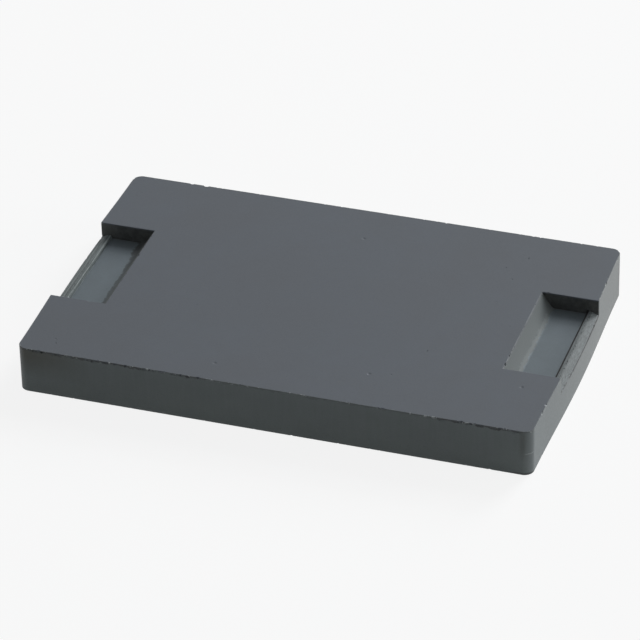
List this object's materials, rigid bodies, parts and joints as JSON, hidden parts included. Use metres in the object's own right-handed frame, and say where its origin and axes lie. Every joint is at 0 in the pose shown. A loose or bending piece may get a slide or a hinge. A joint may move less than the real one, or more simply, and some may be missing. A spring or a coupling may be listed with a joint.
{
  "type": "planar ferrite core plate",
  "caption": "Flat rectangular ferrite core plate with rounded corners and a lipped clip recess in the middle of each short end.",
  "frame": {"origin": "centre of the ground mating face on the underside", "axes": "+X along the plate towards one short end, +Y across it, +Z from the mating face up to the face with the clip recesses"},
  "size_m": [0.0432, 0.0278, 0.0041],
  "materials": {
    "ferrite": "matte"
  },
  "bodies": {
    "root": {"plate_core": "ferrite"}
  },
  "joints": []
}
